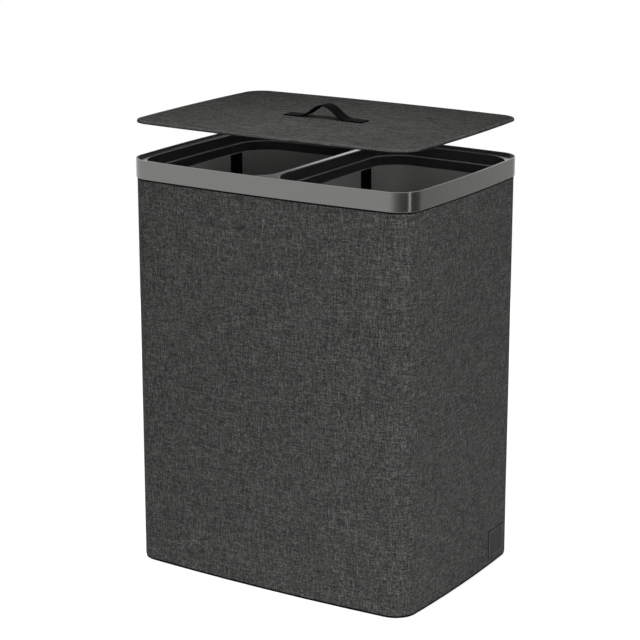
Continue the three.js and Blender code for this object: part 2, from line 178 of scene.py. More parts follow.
def area_inside(outline, inset):
    places = [place - inset * out for place, out in outline]
    pairs = zip(places[-1:] + places, places)
    return abs(sum((before.conjugate() * place).imag for before, place in pairs)) / 2


def on_outline(outline, inset, height, warp=None):
    """Points that far inside an outline. The warp moves each of them further in."""
    places = [place - (inset + (warp(place, height) if warp else 0)) * out for place, out in outline]
    return [(place.real, place.imag, height) for place in places]


def upright_row(station, inset, levels, warp=None):
    return [point for level in levels for point in on_outline([station], inset, level, warp)]


def rounded(corners, closed=False, steps=ARC_STEPS):
    """A profile from (inset, height, radius) corners, each with a radius turned into an arc."""
    points = []
    for place, (inset, height, radius) in enumerate(corners):
        here = complex(inset, height)
        if not radius or (not closed and place in (0, len(corners) - 1)):
            points.append(here)
            continue
        before = complex(*corners[place - 1][:2]) - here
        after = complex(*corners[(place + 1) % len(corners)][:2]) - here
        before /= abs(before)
        after /= abs(after)
        half = abs(cmath.phase(after / before)) / 2
        reach = radius / math.tan(half)
        middle = here + (before + after) / abs(before + after) * radius / math.sin(half)
        first = here + before * reach - middle
        turn = cmath.phase((here + after * reach - middle) / first)
        shoulder = reach * (1 + SHOULDER_SHARE)
        points.append(here + before * shoulder)
        points += [middle + first * cmath.exp(1j * angle) for angle in even_steps(0, turn, steps)]
        points.append(here + after * shoulder)
    return [(point.real, point.imag) for point in points]


# Mesh code: every sheet of faces carries its cloth coordinates in metres
def cloth_layer(mesh):
    return mesh.loops.layers.uv.get("cloth") or mesh.loops.layers.uv.new("cloth")


def skin(mesh, rings, along, down, closed=False):
    """Quads between rings of points, with the distances along and down them. Returns the rings."""
    layer = cloth_layer(mesh)
    rings = [[mesh.verts.new(point) for point in ring] for ring in rings]
    count = len(rings[0])
    for row in range(len(rings) if closed else len(rings) - 1):
        upper, lower = rings[row], rings[(row + 1) % len(rings)]
        for step in range(count):
            beside = (step + 1) % count
            face = mesh.faces.new((upper[step], upper[beside], lower[beside], lower[step]))
            corners = ((step, row), (step + 1, row), (step + 1, row + 1), (step, row + 1))
            for loop, (across, deep) in zip(face.loops, corners):
                loop[layer].uv = (along[across], down[deep])
    return rings


def loft(mesh, outline, profile, closed_profile=False, warp=None):
    """A skin between the outline's rings at each (inset, height) of the profile."""
    rings = [on_outline(outline, inset, height, warp) for inset, height in profile]
    along = distances([place for place, _ in outline])
    down = distances([complex(*point) for point in profile])
    return skin(mesh, rings, along, down, closed_profile)


def flat_faces(mesh, verts, triangles):
    """Faces between points, whose cloth coordinates are their plan places."""
    layer = cloth_layer(mesh)
    for corners in triangles:
        face = mesh.faces.new([verts[corner] for corner in corners])
        for loop in face.loops:
            loop[layer].uv = loop.vert.co.xy


def flat_wall(mesh, ring, *holes):
    """A flat face between a ring and the holes in it."""
    rings = [ring, *holes]
    verts = [vert for one in rings for vert in one]
    flat_faces(mesh, verts, tessellate_polygon([[vert.co for vert in one] for one in rings]))


def close_ends(mesh, rings):
    for ring in (rings[0], rings[-1]):
        flat_wall(mesh, ring)


def mesh_data(name, mesh):
    """A mesh block from a bmesh, with its faces turned outwards."""
    bmesh.ops.recalc_face_normals(mesh, faces=mesh.faces)
    data = bpy.data.meshes.new(name)
    mesh.to_mesh(data)
    mesh.free()
    return data


def placed(name, data):
    """An object in the scene, at the origin."""
    thing = bpy.data.objects.new(name, data)
    bpy.context.scene.collection.objects.link(thing)
    return thing


def shown(name, data, body, slot, *replaced):
    """A piece that rides on a body and stands for the frame's nodes."""
    piece = placed(name, data)
    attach(piece, body)
    if replaced:
        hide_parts(*replaced)
    return piece


def finished(name, mesh, material, body, slot, *replaced):
    """A smooth piece from a bmesh."""
    data = mesh_data(name, mesh)
    data.polygons.foreach_set("use_smooth", [True] * len(data.polygons))
    data.set_sharp_from_angle(angle=SHARP_ANGLE)
    data.materials.append(material)
    return shown(name, data, body, slot, *replaced)


def ring_piece(name, outline, corners, material, body, slot, *replaced):
    """A closed ring along an outline, with a profile from (inset, height, radius) corners."""
    mesh = bmesh.new()
    loft(mesh, outline, rounded(corners, closed=True), closed_profile=True)
    return finished(name, mesh, material, body, slot, *replaced)


def strip(name, stations, outside, inside, levels, material, body, slot, *replaced, warp=None):
    """An upright strip along part of an outline, closed all round."""
    behind = stations[::-1]
    rings = []
    for level in levels:
        front = on_outline(stations, outside, level, warp)
        rings.append(front + on_outline(behind, inside, level, warp))
    mesh = bmesh.new()
    along = distances([place for place, _ in stations + behind])
    close_ends(mesh, skin(mesh, rings, along, levels))
    return finished(name, mesh, material, body, slot, *replaced)


# Materials: colours are sRGB hex, turned to linear here
def linear(hex_colour):
    levels = [int(hex_colour[at : at + 2], 16) / 255 for at in (1, 3, 5)]
    return (*(x / 12.92 if x <= 0.04045 else ((x + 0.055) / 1.055) ** 2.4 for x in levels), 1)


def add(tree, kind, inputs=None, **settings):
    """One node, with its settings, input values and links. A node given as an input is its first output."""
    node = tree.nodes.new(kind)
    for name, value in settings.items():
        setattr(node, name, value)
    for socket, value in (inputs or {}).items():
        source = value.outputs[0] if isinstance(value, bpy.types.Node) else value
        if isinstance(source, bpy.types.NodeSocket):
            tree.links.new(source, node.inputs[socket])
        else:
            node.inputs[socket].default_value = source
    return node


def set_stops(ramp, stops):
    """Gives a colour ramp its (position, linear colour) stops."""
    elements = ramp.color_ramp.elements
    while len(elements) < len(stops):
        elements.new(1)
    for element, (position, colour) in zip(elements, stops):
        element.position = position
        element.color = colour


def new_material(name):
    material = bpy.data.materials.new(name)
    material.use_nodes = True
    material.node_tree.nodes.clear()
    return material, material.node_tree


# Distance between threads in the noise, large enough that neighbours don't match
THREAD_LANE = 7.31
# Bunches of several threads share a tone: their width in threads, their width as a share of their
# length, and how much of the tone comes from them
BUNCH_THREADS = 3
BUNCH_WIDTH_SHARE = 0.5
BUNCH_TONE_SHARE = 0.1
BUNCH_DETAIL = 1.0
# Brightness where two threads meet, and what the crown of a thread adds to it
CREVICE_SHADE = 0.8
CROWN_SHADE = 0.3
WEAVE_RELIEF = 0.6


def weave(tree, pitch, slubs, fibre):
    """A plain weave on the cloth coordinates: each thread's tone along it, and the threads' swell."""
    cloth = add(tree, "ShaderNodeUVMap", uv_map="cloth")
    threads = add(tree, "ShaderNodeVectorMath", {0: cloth, 1: (pitch, pitch, 1)}, operation="DIVIDE")
    counted = add(tree, "ShaderNodeVectorMath", {0: threads}, operation="FLOOR")
    across, along, _ = add(tree, "ShaderNodeSeparateXYZ", {0: threads}).outputs
    column, row, _ = add(tree, "ShaderNodeSeparateXYZ", {0: counted}).outputs
    tones = []
    for thread, length, slub in ((column, along, slubs[0]), (row, across, slubs[1])):
        lane = add(tree, "ShaderNodeMath", {0: thread, 1: THREAD_LANE}, operation="MULTIPLY")
        drift = add(tree, "ShaderNodeMath", {0: length, 1: pitch / slub}, operation="MULTIPLY")
        place = add(tree, "ShaderNodeCombineXYZ", {0: lane, 1: drift, 2: len(tones) * THREAD_LANE})
        spun = {"Vector": place, "Scale": 1.0, "Detail": fibre[0], "Roughness": fibre[1]}
        tones.append(add(tree, "ShaderNodeTexNoise", spun))
    both = add(tree, "ShaderNodeMath", {0: column, 1: row}, operation="ADD")
    crossing = add(tree, "ShaderNodeMath", {0: both, 1: 2.0}, operation="FLOORED_MODULO")
    thread_tone = add(tree, "ShaderNodeMix", {"Factor": crossing, "A": tones[0], "B": tones[1]})
    waves = 1 / (BUNCH_THREADS * pitch)
    stretch = (waves, BUNCH_WIDTH_SHARE * waves, 0)
    bunched = add(tree, "ShaderNodeVectorMath", {0: cloth, 1: stretch}, operation="MULTIPLY")
    bunches = add(tree, "ShaderNodeTexNoise", {"Vector": bunched, "Scale": 1.0, "Detail": BUNCH_DETAIL})
    tone = add(tree, "ShaderNodeMix", {"Factor": BUNCH_TONE_SHARE, "A": thread_tone, "B": bunches})
    part = add(tree, "ShaderNodeVectorMath", {0: threads}, operation="FRACTION")
    to_middle = {0: part, 1: (2, 2, 2), 2: (-1, -1, -1)}
    off_middle = add(tree, "ShaderNodeVectorMath", to_middle, operation="MULTIPLY_ADD")
    square = add(tree, "ShaderNodeVectorMath", {0: off_middle, 1: off_middle}, operation="MULTIPLY")
    crowns = add(tree, "ShaderNodeVectorMath", {0: (1, 1, 1), 1: square}, operation="SUBTRACT")
    crown_across, crown_along, _ = add(tree, "ShaderNodeSeparateXYZ", {0: crowns}).outputs
    swell = add(tree, "ShaderNodeMath", {0: crown_across, 1: crown_along}, operation="MULTIPLY")
    return tone, swell


def woven_cloth(name, colours, pitch, slubs, bump, roughness=0.9, shine=0.1, fibre=(2.0, 0.65), spread=0.2):
    """Cloth with threads a pitch apart, whose tones run from dark to light over the slubs' lengths.

    The slubs are those of the threads along the second and along the first cloth coordinate. The
    fibre is the detail and the roughness of the tones. The spread is how far from the middle tone
    the two outer colours lie.
    """
    material, tree = new_material(name)
    tone, swell = weave(tree, pitch, slubs, fibre)
    dyed = add(tree, "ShaderNodeValToRGB", {"Fac": tone})
    set_stops(dyed, list(zip((0.5 - spread, 0.5, 0.5 + spread), map(linear, colours))))
    crest = {0: swell, 1: CROWN_SHADE, 2: CREVICE_SHADE}
    shade = add(tree, "ShaderNodeMath", crest, operation="MULTIPLY_ADD")
    tinted = add(tree, "ShaderNodeVectorMath", {0: dyed, "Scale": shade}, operation="SCALE")
    relief = add(tree, "ShaderNodeBump", {"Height": swell, "Strength": WEAVE_RELIEF, "Distance": bump})
    finish = {"Base Color": tinted, "Roughness": roughness, "Specular IOR Level": shine, "Normal": relief}
    shader = add(tree, "ShaderNodeBsdfPrincipled", finish)
    add(tree, "ShaderNodeOutputMaterial", {"Surface": shader})
    return material


GRAIN_DETAIL = 2.0
# One slow change of tone every 60 mm or so, as handling and moulding leave
PATCHES_PER_METRE = 16.0
# Share of a roughness by which the grain changes it in all, and the strength of its relief
GLOSS_SWING = 0.4
GRAIN_RELIEF = 0.4


def grained(name, colour, grain, depth, roughness, metallic=0.0, ior=1.5, spread=0.12, shine=0.5):
    """A solid material: a fine grain moves its gloss and relief, and its tone drifts by the spread."""
    material, tree = new_material(name)
    where = {"Vector": add(tree, "ShaderNodeTexCoord").outputs["Object"], "Detail": GRAIN_DETAIL}
    speckle = add(tree, "ShaderNodeTexNoise", {**where, "Scale": 1 / grain})
    patchy = add(tree, "ShaderNodeTexNoise", {**where, "Scale": PATCHES_PER_METRE})
    around = {0: patchy, 1: spread, 2: 1 - spread / 2}
    level = add(tree, "ShaderNodeMath", around, operation="MULTIPLY_ADD")
    tinted = add(tree, "ShaderNodeVectorMath", {0: linear(colour)[:3], "Scale": level}, operation="SCALE")
    swing = {0: speckle, 1: roughness * GLOSS_SWING, 2: roughness * (1 - GLOSS_SWING / 2)}
    gloss = add(tree, "ShaderNodeMath", swing, operation="MULTIPLY_ADD")
    relief = add(tree, "ShaderNodeBump", {"Height": speckle, "Strength": GRAIN_RELIEF, "Distance": depth})
    finish = {
        "Base Color": tinted, "Roughness": gloss, "Metallic": metallic, "IOR": ior,
        "Specular IOR Level": shine, "Normal": relief,
    }
    shader = add(tree, "ShaderNodeBsdfPrincipled", finish)
    add(tree, "ShaderNodeOutputMaterial", {"Surface": shader})
    return material


# Melange polyester in a linen-look plain weave: dark and light fibres spun together give a speckled grey.
# Its threads are 0.6 mm apart, drawn at 1.1 mm, or they wouldn't show at the photograph's distance.
COVER_CLOTH = woven_cloth(
    "melange_polyester_cover", ("#121211", "#3f3f3e", "#7d7d7b"), pitch=1.1 * MM,
    slubs=(30 * MM, 20 * MM), bump=0.3 * MM, fibre=(5.0, 0.95), spread=0.13,
)
# The same cloth on the lid, with its longer slubs from left to right, in lighter colours than on the walls:
# that is painted light on the top. It has no gloss: seen from a low angle, even a faint gloss of the bright
# room would turn it pale.
LID_CLOTH = woven_cloth(
    "melange_polyester_lid_painted_lighter", ("#161615", "#484847", "#888884"), pitch=1.1 * MM,
    slubs=(9 * MM, 36 * MM), bump=0.3 * MM, roughness=1.0, shine=0.0, spread=0.3,
)
# Polyester taffeta: a plain smooth lining with a slight sheen. Drawn at 0.8 mm for threads of 0.3 mm.
LINING = woven_cloth(
    "polyester_taffeta", ("#8c8c8a", "#969694", "#a0a09e"), pitch=0.8 * MM,
    slubs=(20 * MM, 20 * MM), bump=0.1 * MM, roughness=0.7, shine=0.4,
)
# Woven polypropylene webbing: dull black with a coarse rib
WEBBING = woven_cloth(
    "polypropylene_webbing", ("#010101", "#030303", "#070707"), pitch=1.6 * MM,
    slubs=(6 * MM, 6 * MM), bump=0.4 * MM, roughness=0.95, shine=0.04,
)
# Folded binding tape: a fine black weave, duller than plastic. Its near black is partly painted shade:
# the shaded side face of the lid's edge, and the shadow under the band on the cover's top edge
BINDING = woven_cloth(
    "polyester_binding_tape", ("#060606", "#0c0c0c", "#141414"), pitch=0.8 * MM,
    slubs=(4 * MM, 4 * MM), bump=0.15 * MM,
)
# The grains of the metals, plastics, rubber and threads are about 0.1 mm or finer. They are drawn at
# 0.25 to 0.7 mm, so that a trace of them shows.
# Anodised aluminium, satin: a soft grey metal that blurs what it reflects
SATIN_METAL = grained(
    "satin_anodised_aluminium", "#7b7b79", grain=0.25 * MM, depth=0.01 * MM, roughness=0.2,
    metallic=1.0, spread=0.04,
)
# Moulded polypropylene with a coarse dull skin: black, almost without gloss. On the base tray's edge this
# near black also paints the contact shade along the foot
DULL_PLASTIC = grained(
    "moulded_black_polypropylene", "#050505", grain=0.7 * MM, depth=0.05 * MM, roughness=0.85, shine=0.05
)
# Moulded ABS, spark-eroded satin: near black, with pale reflections at a low angle
BLACK_PLASTIC = grained(
    "moulded_black_abs", "#2a2a2a", grain=0.5 * MM, depth=0.01 * MM, roughness=0.22, ior=1.6
)
# Pressed fibreboard: pale brown felted fibres
FIBREBOARD = grained(
    "pressed_fibreboard", "#8a7860", grain=1.5 * MM, depth=0.05 * MM, roughness=0.85, spread=0.25
)
# Moulded nitrile rubber: dull dark grey
RUBBER = grained("moulded_rubber", "#1d1d1d", grain=0.6 * MM, depth=0.02 * MM, roughness=0.8)
# Zinc plated steel: light and slightly mottled
ZINC_STEEL = grained(
    "zinc_plated_steel", "#a5a7a8", grain=0.4 * MM, depth=0.01 * MM, roughness=0.35,
    metallic=1.0, spread=0.2,
)
# Grained polyurethane leather: a dark grey with a fine pebble
PATCH_LEATHER = grained(
    "grained_synthetic_leather", "#2c2c2b", grain=1.2 * MM, depth=0.3 * MM, roughness=0.8, shine=0.2
)
# Spun polyester sewing thread: a lighter grey than the cover that it holds
THREAD = grained("spun_polyester_thread", "#8c8c89", grain=0.3 * MM, depth=0.05 * MM, roughness=0.8)
# The same thread dyed black, for the webbing: it shows as a row of small dull beads
BLACK_THREAD = grained(
    "black_polyester_thread", "#101010", grain=0.3 * MM, depth=0.05 * MM, roughness=0.8, shine=0.2
)


# Geometry Nodes: trees for what repeats
def node_group(name, *sizes):
    """A geometry tree, and its inputs: a geometry, the named sizes and a material."""
    tree = bpy.data.node_groups.new(name, "GeometryNodeTree")
    lengths = dict.fromkeys(sizes, "NodeSocketFloat")
    kinds = {"Geometry": "NodeSocketGeometry", **lengths, "Material": "NodeSocketMaterial"}
    for label, kind in kinds.items():
        tree.interface.new_socket(label, in_out="INPUT", socket_type=kind)
    tree.interface.new_socket("Geometry", in_out="OUTPUT", socket_type=kinds["Geometry"])
    return tree, tree.nodes.new("NodeGroupInput").outputs


def close_group(tree, laid, material):
    """Lays a piece on points as real meshes, smooths them and gives them their material."""
    pieces = add(tree, "GeometryNodeInstanceOnPoints", laid)
    real = add(tree, "GeometryNodeRealizeInstances", {0: pieces})
    smooth = add(tree, "GeometryNodeSetShadeSmooth", {"Geometry": real})
    dressed = add(tree, "GeometryNodeSetMaterial", {"Geometry": smooth, "Material": material})
    add(tree, "NodeGroupOutput", {0: dressed})


BEAD_SEGMENTS = 8
BEAD_RINGS = 5


def stitch_tree():
    """Small oval stitches, laid end to end along the edges of a mesh."""
    tree, given = node_group("stitch_row", "Spacing", "Length", "Thickness")
    path = add(tree, "GeometryNodeMeshToCurve", {"Mesh": given["Geometry"]})
    spaced = {"Curve": path, "Length": given["Spacing"]}
    places = add(tree, "GeometryNodeResampleCurve", spaced, mode="LENGTH")
    unit = {"Segments": BEAD_SEGMENTS, "Rings": BEAD_RINGS, "Radius": 1 / 2}
    bead = add(tree, "GeometryNodeMeshUVSphere", unit)
    sides = {0: given["Length"], 1: given["Thickness"], 2: given["Thickness"]}
    size = add(tree, "ShaderNodeCombineXYZ", sides)
    oval = add(tree, "GeometryNodeTransform", {"Geometry": bead, "Scale": size})
    tangent = add(tree, "GeometryNodeInputTangent")
    heading = add(tree, "FunctionNodeAlignRotationToVector", {"Vector": tangent}, axis="X")
    laid = {"Points": places, "Instance": oval, "Rotation": heading}
    close_group(tree, laid, given["Material"])
    return tree


def corners_tree():
    """Four copies of a piece, at the corners of a rectangle."""
    tree, given = node_group("four_corners", "Spread X", "Spread Y")
    spread = {"Size X": given["Spread X"], "Size Y": given["Spread Y"], "Vertices X": 2, "Vertices Y": 2}
    laid = {"Points": add(tree, "GeometryNodeMeshGrid", spread), "Instance": given["Geometry"]}
    close_group(tree, laid, given["Material"])
    return tree


STITCH_ROW = stitch_tree()
FOUR_CORNERS = corners_tree()


def grown(name, data, tree, values, body, slot, *replaced):
    """Runs a geometry tree on a mesh and keeps the result as a plain piece."""
    seed = placed(name + "_seed", data)
    modifier = seed.modifiers.new("grow", "NODES")
    modifier.node_group = tree
    for item in tree.interface.items_tree:
        if item.item_type == "SOCKET" and item.in_out == "INPUT" and item.name in values:
            modifier[item.identifier] = values[item.name]
    depsgraph = bpy.context.evaluated_depsgraph_get()
    result = bpy.data.meshes.new_from_object(seed.evaluated_get(depsgraph))
    result.name = name
    bpy.data.objects.remove(seed)
    return shown(name, result, body, slot, *replaced)


STITCH_SPACING = 4 * MM
STITCH_LENGTH_SHARE = 0.7
STITCH_THICKNESS = 0.55 * MM
STITCH_SET_IN = STITCH_THICKNESS / 4


def stitched(name, rows, body, slot, closed=False, spacing=STITCH_SPACING, thread=THREAD):
    """Stitches along rows of points."""
    data = bpy.data.meshes.new(name + "_rows")
    points, edges = [], []
    for row in rows:
        first = len(points)
        points += row
        edges += [(first + step, first + step + 1) for step in range(len(row) - 1)]
        if closed:
            edges.append((len(points) - 1, first))
    data.from_pydata(points, edges, [])
    values = {
        "Spacing": spacing, "Length": spacing * STITCH_LENGTH_SHARE,
        "Thickness": STITCH_THICKNESS, "Material": thread,
    }
    return grown(name, data, STITCH_ROW, values, body, slot)


def ripple(place, height, plan_waves, upright_waves, start=0):
    """Smooth noise between about -1 and 1, with that many waves a metre in plan and upright."""
    level = height * upright_waves + start
    return noise.noise(Vector((place.real * plan_waves, place.imag * plan_waves, level)))


# Fabric cover: one cloth round the walls, tight over the boards, with a lapped seam at the back
COVER_THICKNESS = 1 * MM
COVER_EDGE = 0.45 * MM
COVER_ROWS = 44
COVER_EASE = 0.3 * MM
COVER_BROAD_WAVES = (9, 6)
COVER_FINE_WAVES = (30, 14)
BROAD_SHARE = 0.7
SEAM_WIDTH = 9 * MM
SEAM_STAND = 0.7 * MM
SEAM_STEPS = 4


def cover_ease(place, height):
    """How far the cloth lies outside or inside its even line."""
    broad = ripple(place, height, *COVER_BROAD_WAVES)
    fine = ripple(place, height, *COVER_FINE_WAVES)
    return COVER_EASE * (BROAD_SHARE * broad + (1 - BROAD_SHARE) * fine)


def make_cover():
    levels = even_steps(COVER_BOTTOM + 2 * COVER_EDGE, COVER_TOP - 2 * COVER_EDGE, COVER_ROWS)
    foot = rounded([
        (COVER_THICKNESS, levels[0], 0), (COVER_THICKNESS, COVER_BOTTOM, COVER_EDGE),
        (0, COVER_BOTTOM, COVER_EDGE), (0, levels[0], 0),
    ])
    head = [(inset, COVER_TOP + COVER_BOTTOM - height) for inset, height in reversed(foot)]
    outside = [(0, level) for level in levels[1:-1]]
    inside = [(COVER_THICKNESS, level) for level in reversed(levels[1:-1])]
    mesh = bmesh.new()
    loft(mesh, HAMPER_OUTLINE, [*foot, *outside, *head, *inside], closed_profile=True, warp=cover_ease)
    cover = finished("cover_cloth", mesh, COVER_CLOTH, "hamper", "cover_fabric", "fabric_cover")


def make_seam():
    half = SEAM_WIDTH / 2 / LONG_SIDE_RADIUS
    ends = (math.pi / 2 - half, math.pi / 2 + half)
    stations = arc(LONG_SIDE_CENTRE, LONG_SIDE_RADIUS, *ends, SEAM_STEPS, ended=True)
    levels = even_steps(COVER_BOTTOM, COVER_TOP, COVER_ROWS)
    strip("cover_seam", stations, -SEAM_STAND, -COVER_EASE, levels, COVER_CLOTH, "hamper", "cover_fabric")
    rows = [upright_row(station, -SEAM_STAND, levels) for station in (stations[1], stations[-2])]
    stitched("seam_stitches", rows, "hamper", "cover_fabric")


# Black tape over the cover's top edge: it shows as a thin dark line under the band. That line is
# painted shade, standing in for the shadow below the band's overhang
SHADE_TAPE_HEIGHT = 2.6 * MM
SHADE_TAPE_STAND = 0.25 * MM
# The frame's skirt is drawn in behind the band's lower edge and the tape
GROOVE_INSET = 0.9 * MM
GROOVE_RISE = 1 * MM
GROOVE_TOP = BAND_BOTTOM + GROOVE_RISE


def make_top_shade_tape():
    top = BAND_BOTTOM - SEAT_GAP
    bottom = top - SHADE_TAPE_HEIGHT
    corners = [
        (-SHADE_TAPE_STAND, top, SHADE_TAPE_STAND), (GROOVE_INSET - OVERLAP, top, 0),
        (GROOVE_INSET - OVERLAP, bottom, 0), (-SHADE_TAPE_STAND, bottom, SHADE_TAPE_STAND),
    ]
    ring_piece("cover_top_shade_tape", HAMPER_OUTLINE, corners, BINDING, "hamper", "black_binding")


# Blank stitched patch, low on the right side
PATCH_STEPS = 12
PATCH_ROWS = 10
PATCH_EDGE = 0.4 * MM
PATCH_EDGE_STEPS = 3
PATCH_STITCH_INSET = 3 * MM
PATCH_STITCH_SPACING = 3 * MM
PATCH_STITCH_STEPS = 8


def make_patch():
    low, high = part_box("side_patch")
    radius = SHORT_SIDE_RADIUS
    ends = [math.asin(y / radius) for y in (low.y, high.y)]
    stations = arc(SHORT_SIDE_CENTRE, radius, *ends, PATCH_STEPS, ended=True)
    outside = radius - math.hypot(high.x - SHORT_SIDE_CENTRE.real, low.y)
    levels = even_steps(low.z, high.z, PATCH_ROWS)
    patch = strip(
        "blank_patch", stations, outside, 0, levels, PATCH_LEATHER, "hamper", "patch", "side_patch"
    )
    bevel = patch.modifiers.new("soft_edge", "BEVEL")
    bevel.width = PATCH_EDGE
    bevel.segments = PATCH_EDGE_STEPS
    bevel.limit_method = "ANGLE"
    inner = [angle + sign * PATCH_STITCH_INSET / radius for angle, sign in zip(ends, (1, -1))]
    stations = arc(SHORT_SIDE_CENTRE, radius, *inner, PATCH_STITCH_STEPS, ended=True)
    below = on_outline(stations, outside, low.z + PATCH_STITCH_INSET)
    above = on_outline(stations, outside, high.z - PATCH_STITCH_INSET)
    ring = below + above[::-1]
    stitched("patch_stitches", [ring], "hamper", "patch", closed=True, spacing=PATCH_STITCH_SPACING)


# Rim: the metal band, and the moulded frame with its recess, ledge, openings and lip
BAND_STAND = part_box("rim_band")[1].x - HALF_WIDTH
BAND_THICKNESS = 1.2 * MM
BAND_EDGE = 0.5 * MM
BAND_TOP_EDGE = 0.8 * MM
BAND_INNER_EDGE = 0.1 * MM
SKIRT_BOTTOM = COVER_TOP + SEAT_GAP
SKIRT_INSIDE = 1 * MM
LEDGE_DEPTH = 5 * MM
LEDGE_TOP = RIM_TOP - LEDGE_DEPTH
LEDGE_THICKNESS = 3 * MM
LEDGE_EDGE = 1 * MM
FRAME_OUTSIDE = -0.3 * MM
FRAME_INSIDE = 4.6 * MM
FRAME_FILLET = 0.35 * MM
RECESS_INSET = 0.5 * MM
OPENING_MARGIN = 1.6 * MM
LIP_WIDTH = 3.5 * MM
LIP_TOP = HOOP_BOTTOM - SEAT_GAP


def make_band():
    inner = BAND_THICKNESS - BAND_STAND
    corners = [
        (-BAND_STAND, BAND_BOTTOM, BAND_EDGE), (-BAND_STAND, RIM_TOP, BAND_TOP_EDGE),
        (inner, RIM_TOP, BAND_INNER_EDGE), (inner, BAND_BOTTOM, BAND_EDGE),
    ]
    ring_piece("metal_band", HAMPER_OUTLINE, corners, SATIN_METAL, "hamper", "satin_metal", "rim_band")


def make_frame():
    mesh = bmesh.new()
    under = LEDGE_TOP - LEDGE_THICKNESS
    outer = rounded([
        (RECESS_INSET + FLAT_MARGIN, LEDGE_TOP, 0), (RECESS_INSET, LEDGE_TOP, FRAME_FILLET),
        (RECESS_INSET, FRAME_TOP, FRAME_FILLET), (FRAME_OUTSIDE, FRAME_TOP, FRAME_FILLET),
        (FRAME_OUTSIDE, GROOVE_TOP, FRAME_FILLET), (GROOVE_INSET, GROOVE_TOP, 0),
        (GROOVE_INSET, SKIRT_BOTTOM, 0), (SKIRT_INSIDE, SKIRT_BOTTOM, 0),
        (SKIRT_INSIDE, under, FRAME_FILLET), (FRAME_INSIDE, under, FRAME_FILLET),
        (FRAME_INSIDE, FRAME_BOTTOM, FRAME_FILLET), (FRAME_INSIDE + FLAT_MARGIN, FRAME_BOTTOM, 0),
    ])
    inner = rounded([
        (-OPENING_MARGIN, LEDGE_TOP, 0), (0, LEDGE_TOP, LEDGE_EDGE),
        (0, LIP_TOP, LEDGE_EDGE), (LIP_WIDTH, LIP_TOP, FRAME_FILLET),
        (LIP_WIDTH, FRAME_BOTTOM, FRAME_FILLET), (LIP_WIDTH - FLAT_MARGIN, FRAME_BOTTOM, 0),
    ])
    outside = loft(mesh, HAMPER_OUTLINE, outer)
    holes = [loft(mesh, opening_outline(side), inner) for side in (1, -1)]
    for end in (0, -1):
        flat_wall(mesh, outside[end], *(rings[end] for rings in holes))
    finished("moulded_rim_frame", mesh, BLACK_PLASTIC, "hamper", "black_plastic", "rim_frame")


# Bins: hoop, tape over its edge that is partly a painted highlight, sagging bag, covered base board,
# webbing and stitches
BIN_CLEARANCE = 1.2 * MM
HOOP_THICKNESS = 2.2 * MM
HOOP_INSIDE = BIN_CLEARANCE + HOOP_THICKNESS
HOOP_FLANGE = 2 * MM
HOOP_EDGE = 0.8 * MM
# A tape of the lining cloth over the hoop's top edge, as a hem: its light line is also a painted highlight
# standing in for the glint on the hoop's edge
MOUTH_HIGHLIGHT_TAPE = 0.5 * MM
MOUTH_HIGHLIGHT_TAPE_REACH = 0.8 * MM
BAG_INSET = 5 * MM
BAG_THICKNESS = 1.2 * MM
BAG_HEM_RADIUS = 0.4 * BAG_THICKNESS
BAG_FOOT_RADIUS = 5 * MM
BAG_FOOT_REACH = 3 * BAG_FOOT_RADIUS
BAG_ROWS = 30
BAG_LEVELS = even_steps(BAG_BOTTOM + 2 * BAG_FOOT_RADIUS, BAG_TOP - BAG_FOOT_RADIUS, BAG_ROWS)
BAG_SEAM_WIDTH = 6 * MM
SEAM_UNDER_HOOP = 9 * MM
BAG_ROUND_LEVELS = (BAG_BOTTOM + BAG_FOOT_REACH, HOOP_BOTTOM - SEAM_UNDER_HOOP)
BASE_GAP = 1 * MM
BASE_INSET = BAG_INSET + BAG_THICKNESS + BASE_GAP
BASE_MARGIN = 2 * MM
BASE_EDGE = 0.8 * MM
STRAP_WIDTH = 30 * MM
STRAP_MIDDLE = 102 * MM
STRAP_THICKNESS = 1.2 * MM
STRAP_OUTSIDE = BAG_INSET + BAG_THICKNESS + SEAT_GAP
STRAP_FACE = STRAP_OUTSIDE + STRAP_THICKNESS
STRAP_LEVELS = even_steps(STRAP_BOTTOM, BAG_TOP, BAG_ROWS)
STRAP_STEPS = 6
STRAP_STITCH_SPACING = 5 * MM

# The bag's walls are drawn in by this much, more or less by shares of it in broad waves and in folds
BAG_SAG = 3.5 * MM
SAG_POWER = 1.5
SAG_BROAD_WAVES = (7, 3, 5)
SAG_BROAD_SHARE = 0.9
SAG_FOLD_WAVES = (26, 2)
SAG_FOLD_SHARE = 0.7


def bag_sag(place, height):
    """How far the hanging cloth is drawn in from its straight line, most at half height."""
    share = (height - BAG_BOTTOM) / (BAG_TOP - BAG_BOTTOM)
    belly = math.sin(math.pi * min(max(share, 0), 1)) ** SAG_POWER
    broad = SAG_BROAD_SHARE * ripple(place, height, *SAG_BROAD_WAVES)
    folds = SAG_FOLD_SHARE * ripple(place, height, *SAG_FOLD_WAVES)
    return BAG_SAG * belly * (1 + broad + folds)


def make_hoop(name, outline):
    flange_inside = BAG_INSET - SEAT_GAP
    flange_top = HOOP_BOTTOM + HOOP_FLANGE
    corners = [
        (BIN_CLEARANCE, HOOP_BOTTOM, FRAME_FILLET), (BIN_CLEARANCE, HOOP_TOP, HOOP_EDGE),
        (HOOP_INSIDE, HOOP_TOP, HOOP_EDGE), (HOOP_INSIDE, flange_top, FRAME_FILLET),
        (flange_inside, flange_top, FRAME_FILLET), (flange_inside, HOOP_BOTTOM, FRAME_FILLET),
    ]
    hoop = name + "_moulded_hoop"
    ring_piece(hoop, outline, corners, BLACK_PLASTIC, name, "black_plastic", name + "_hoop")
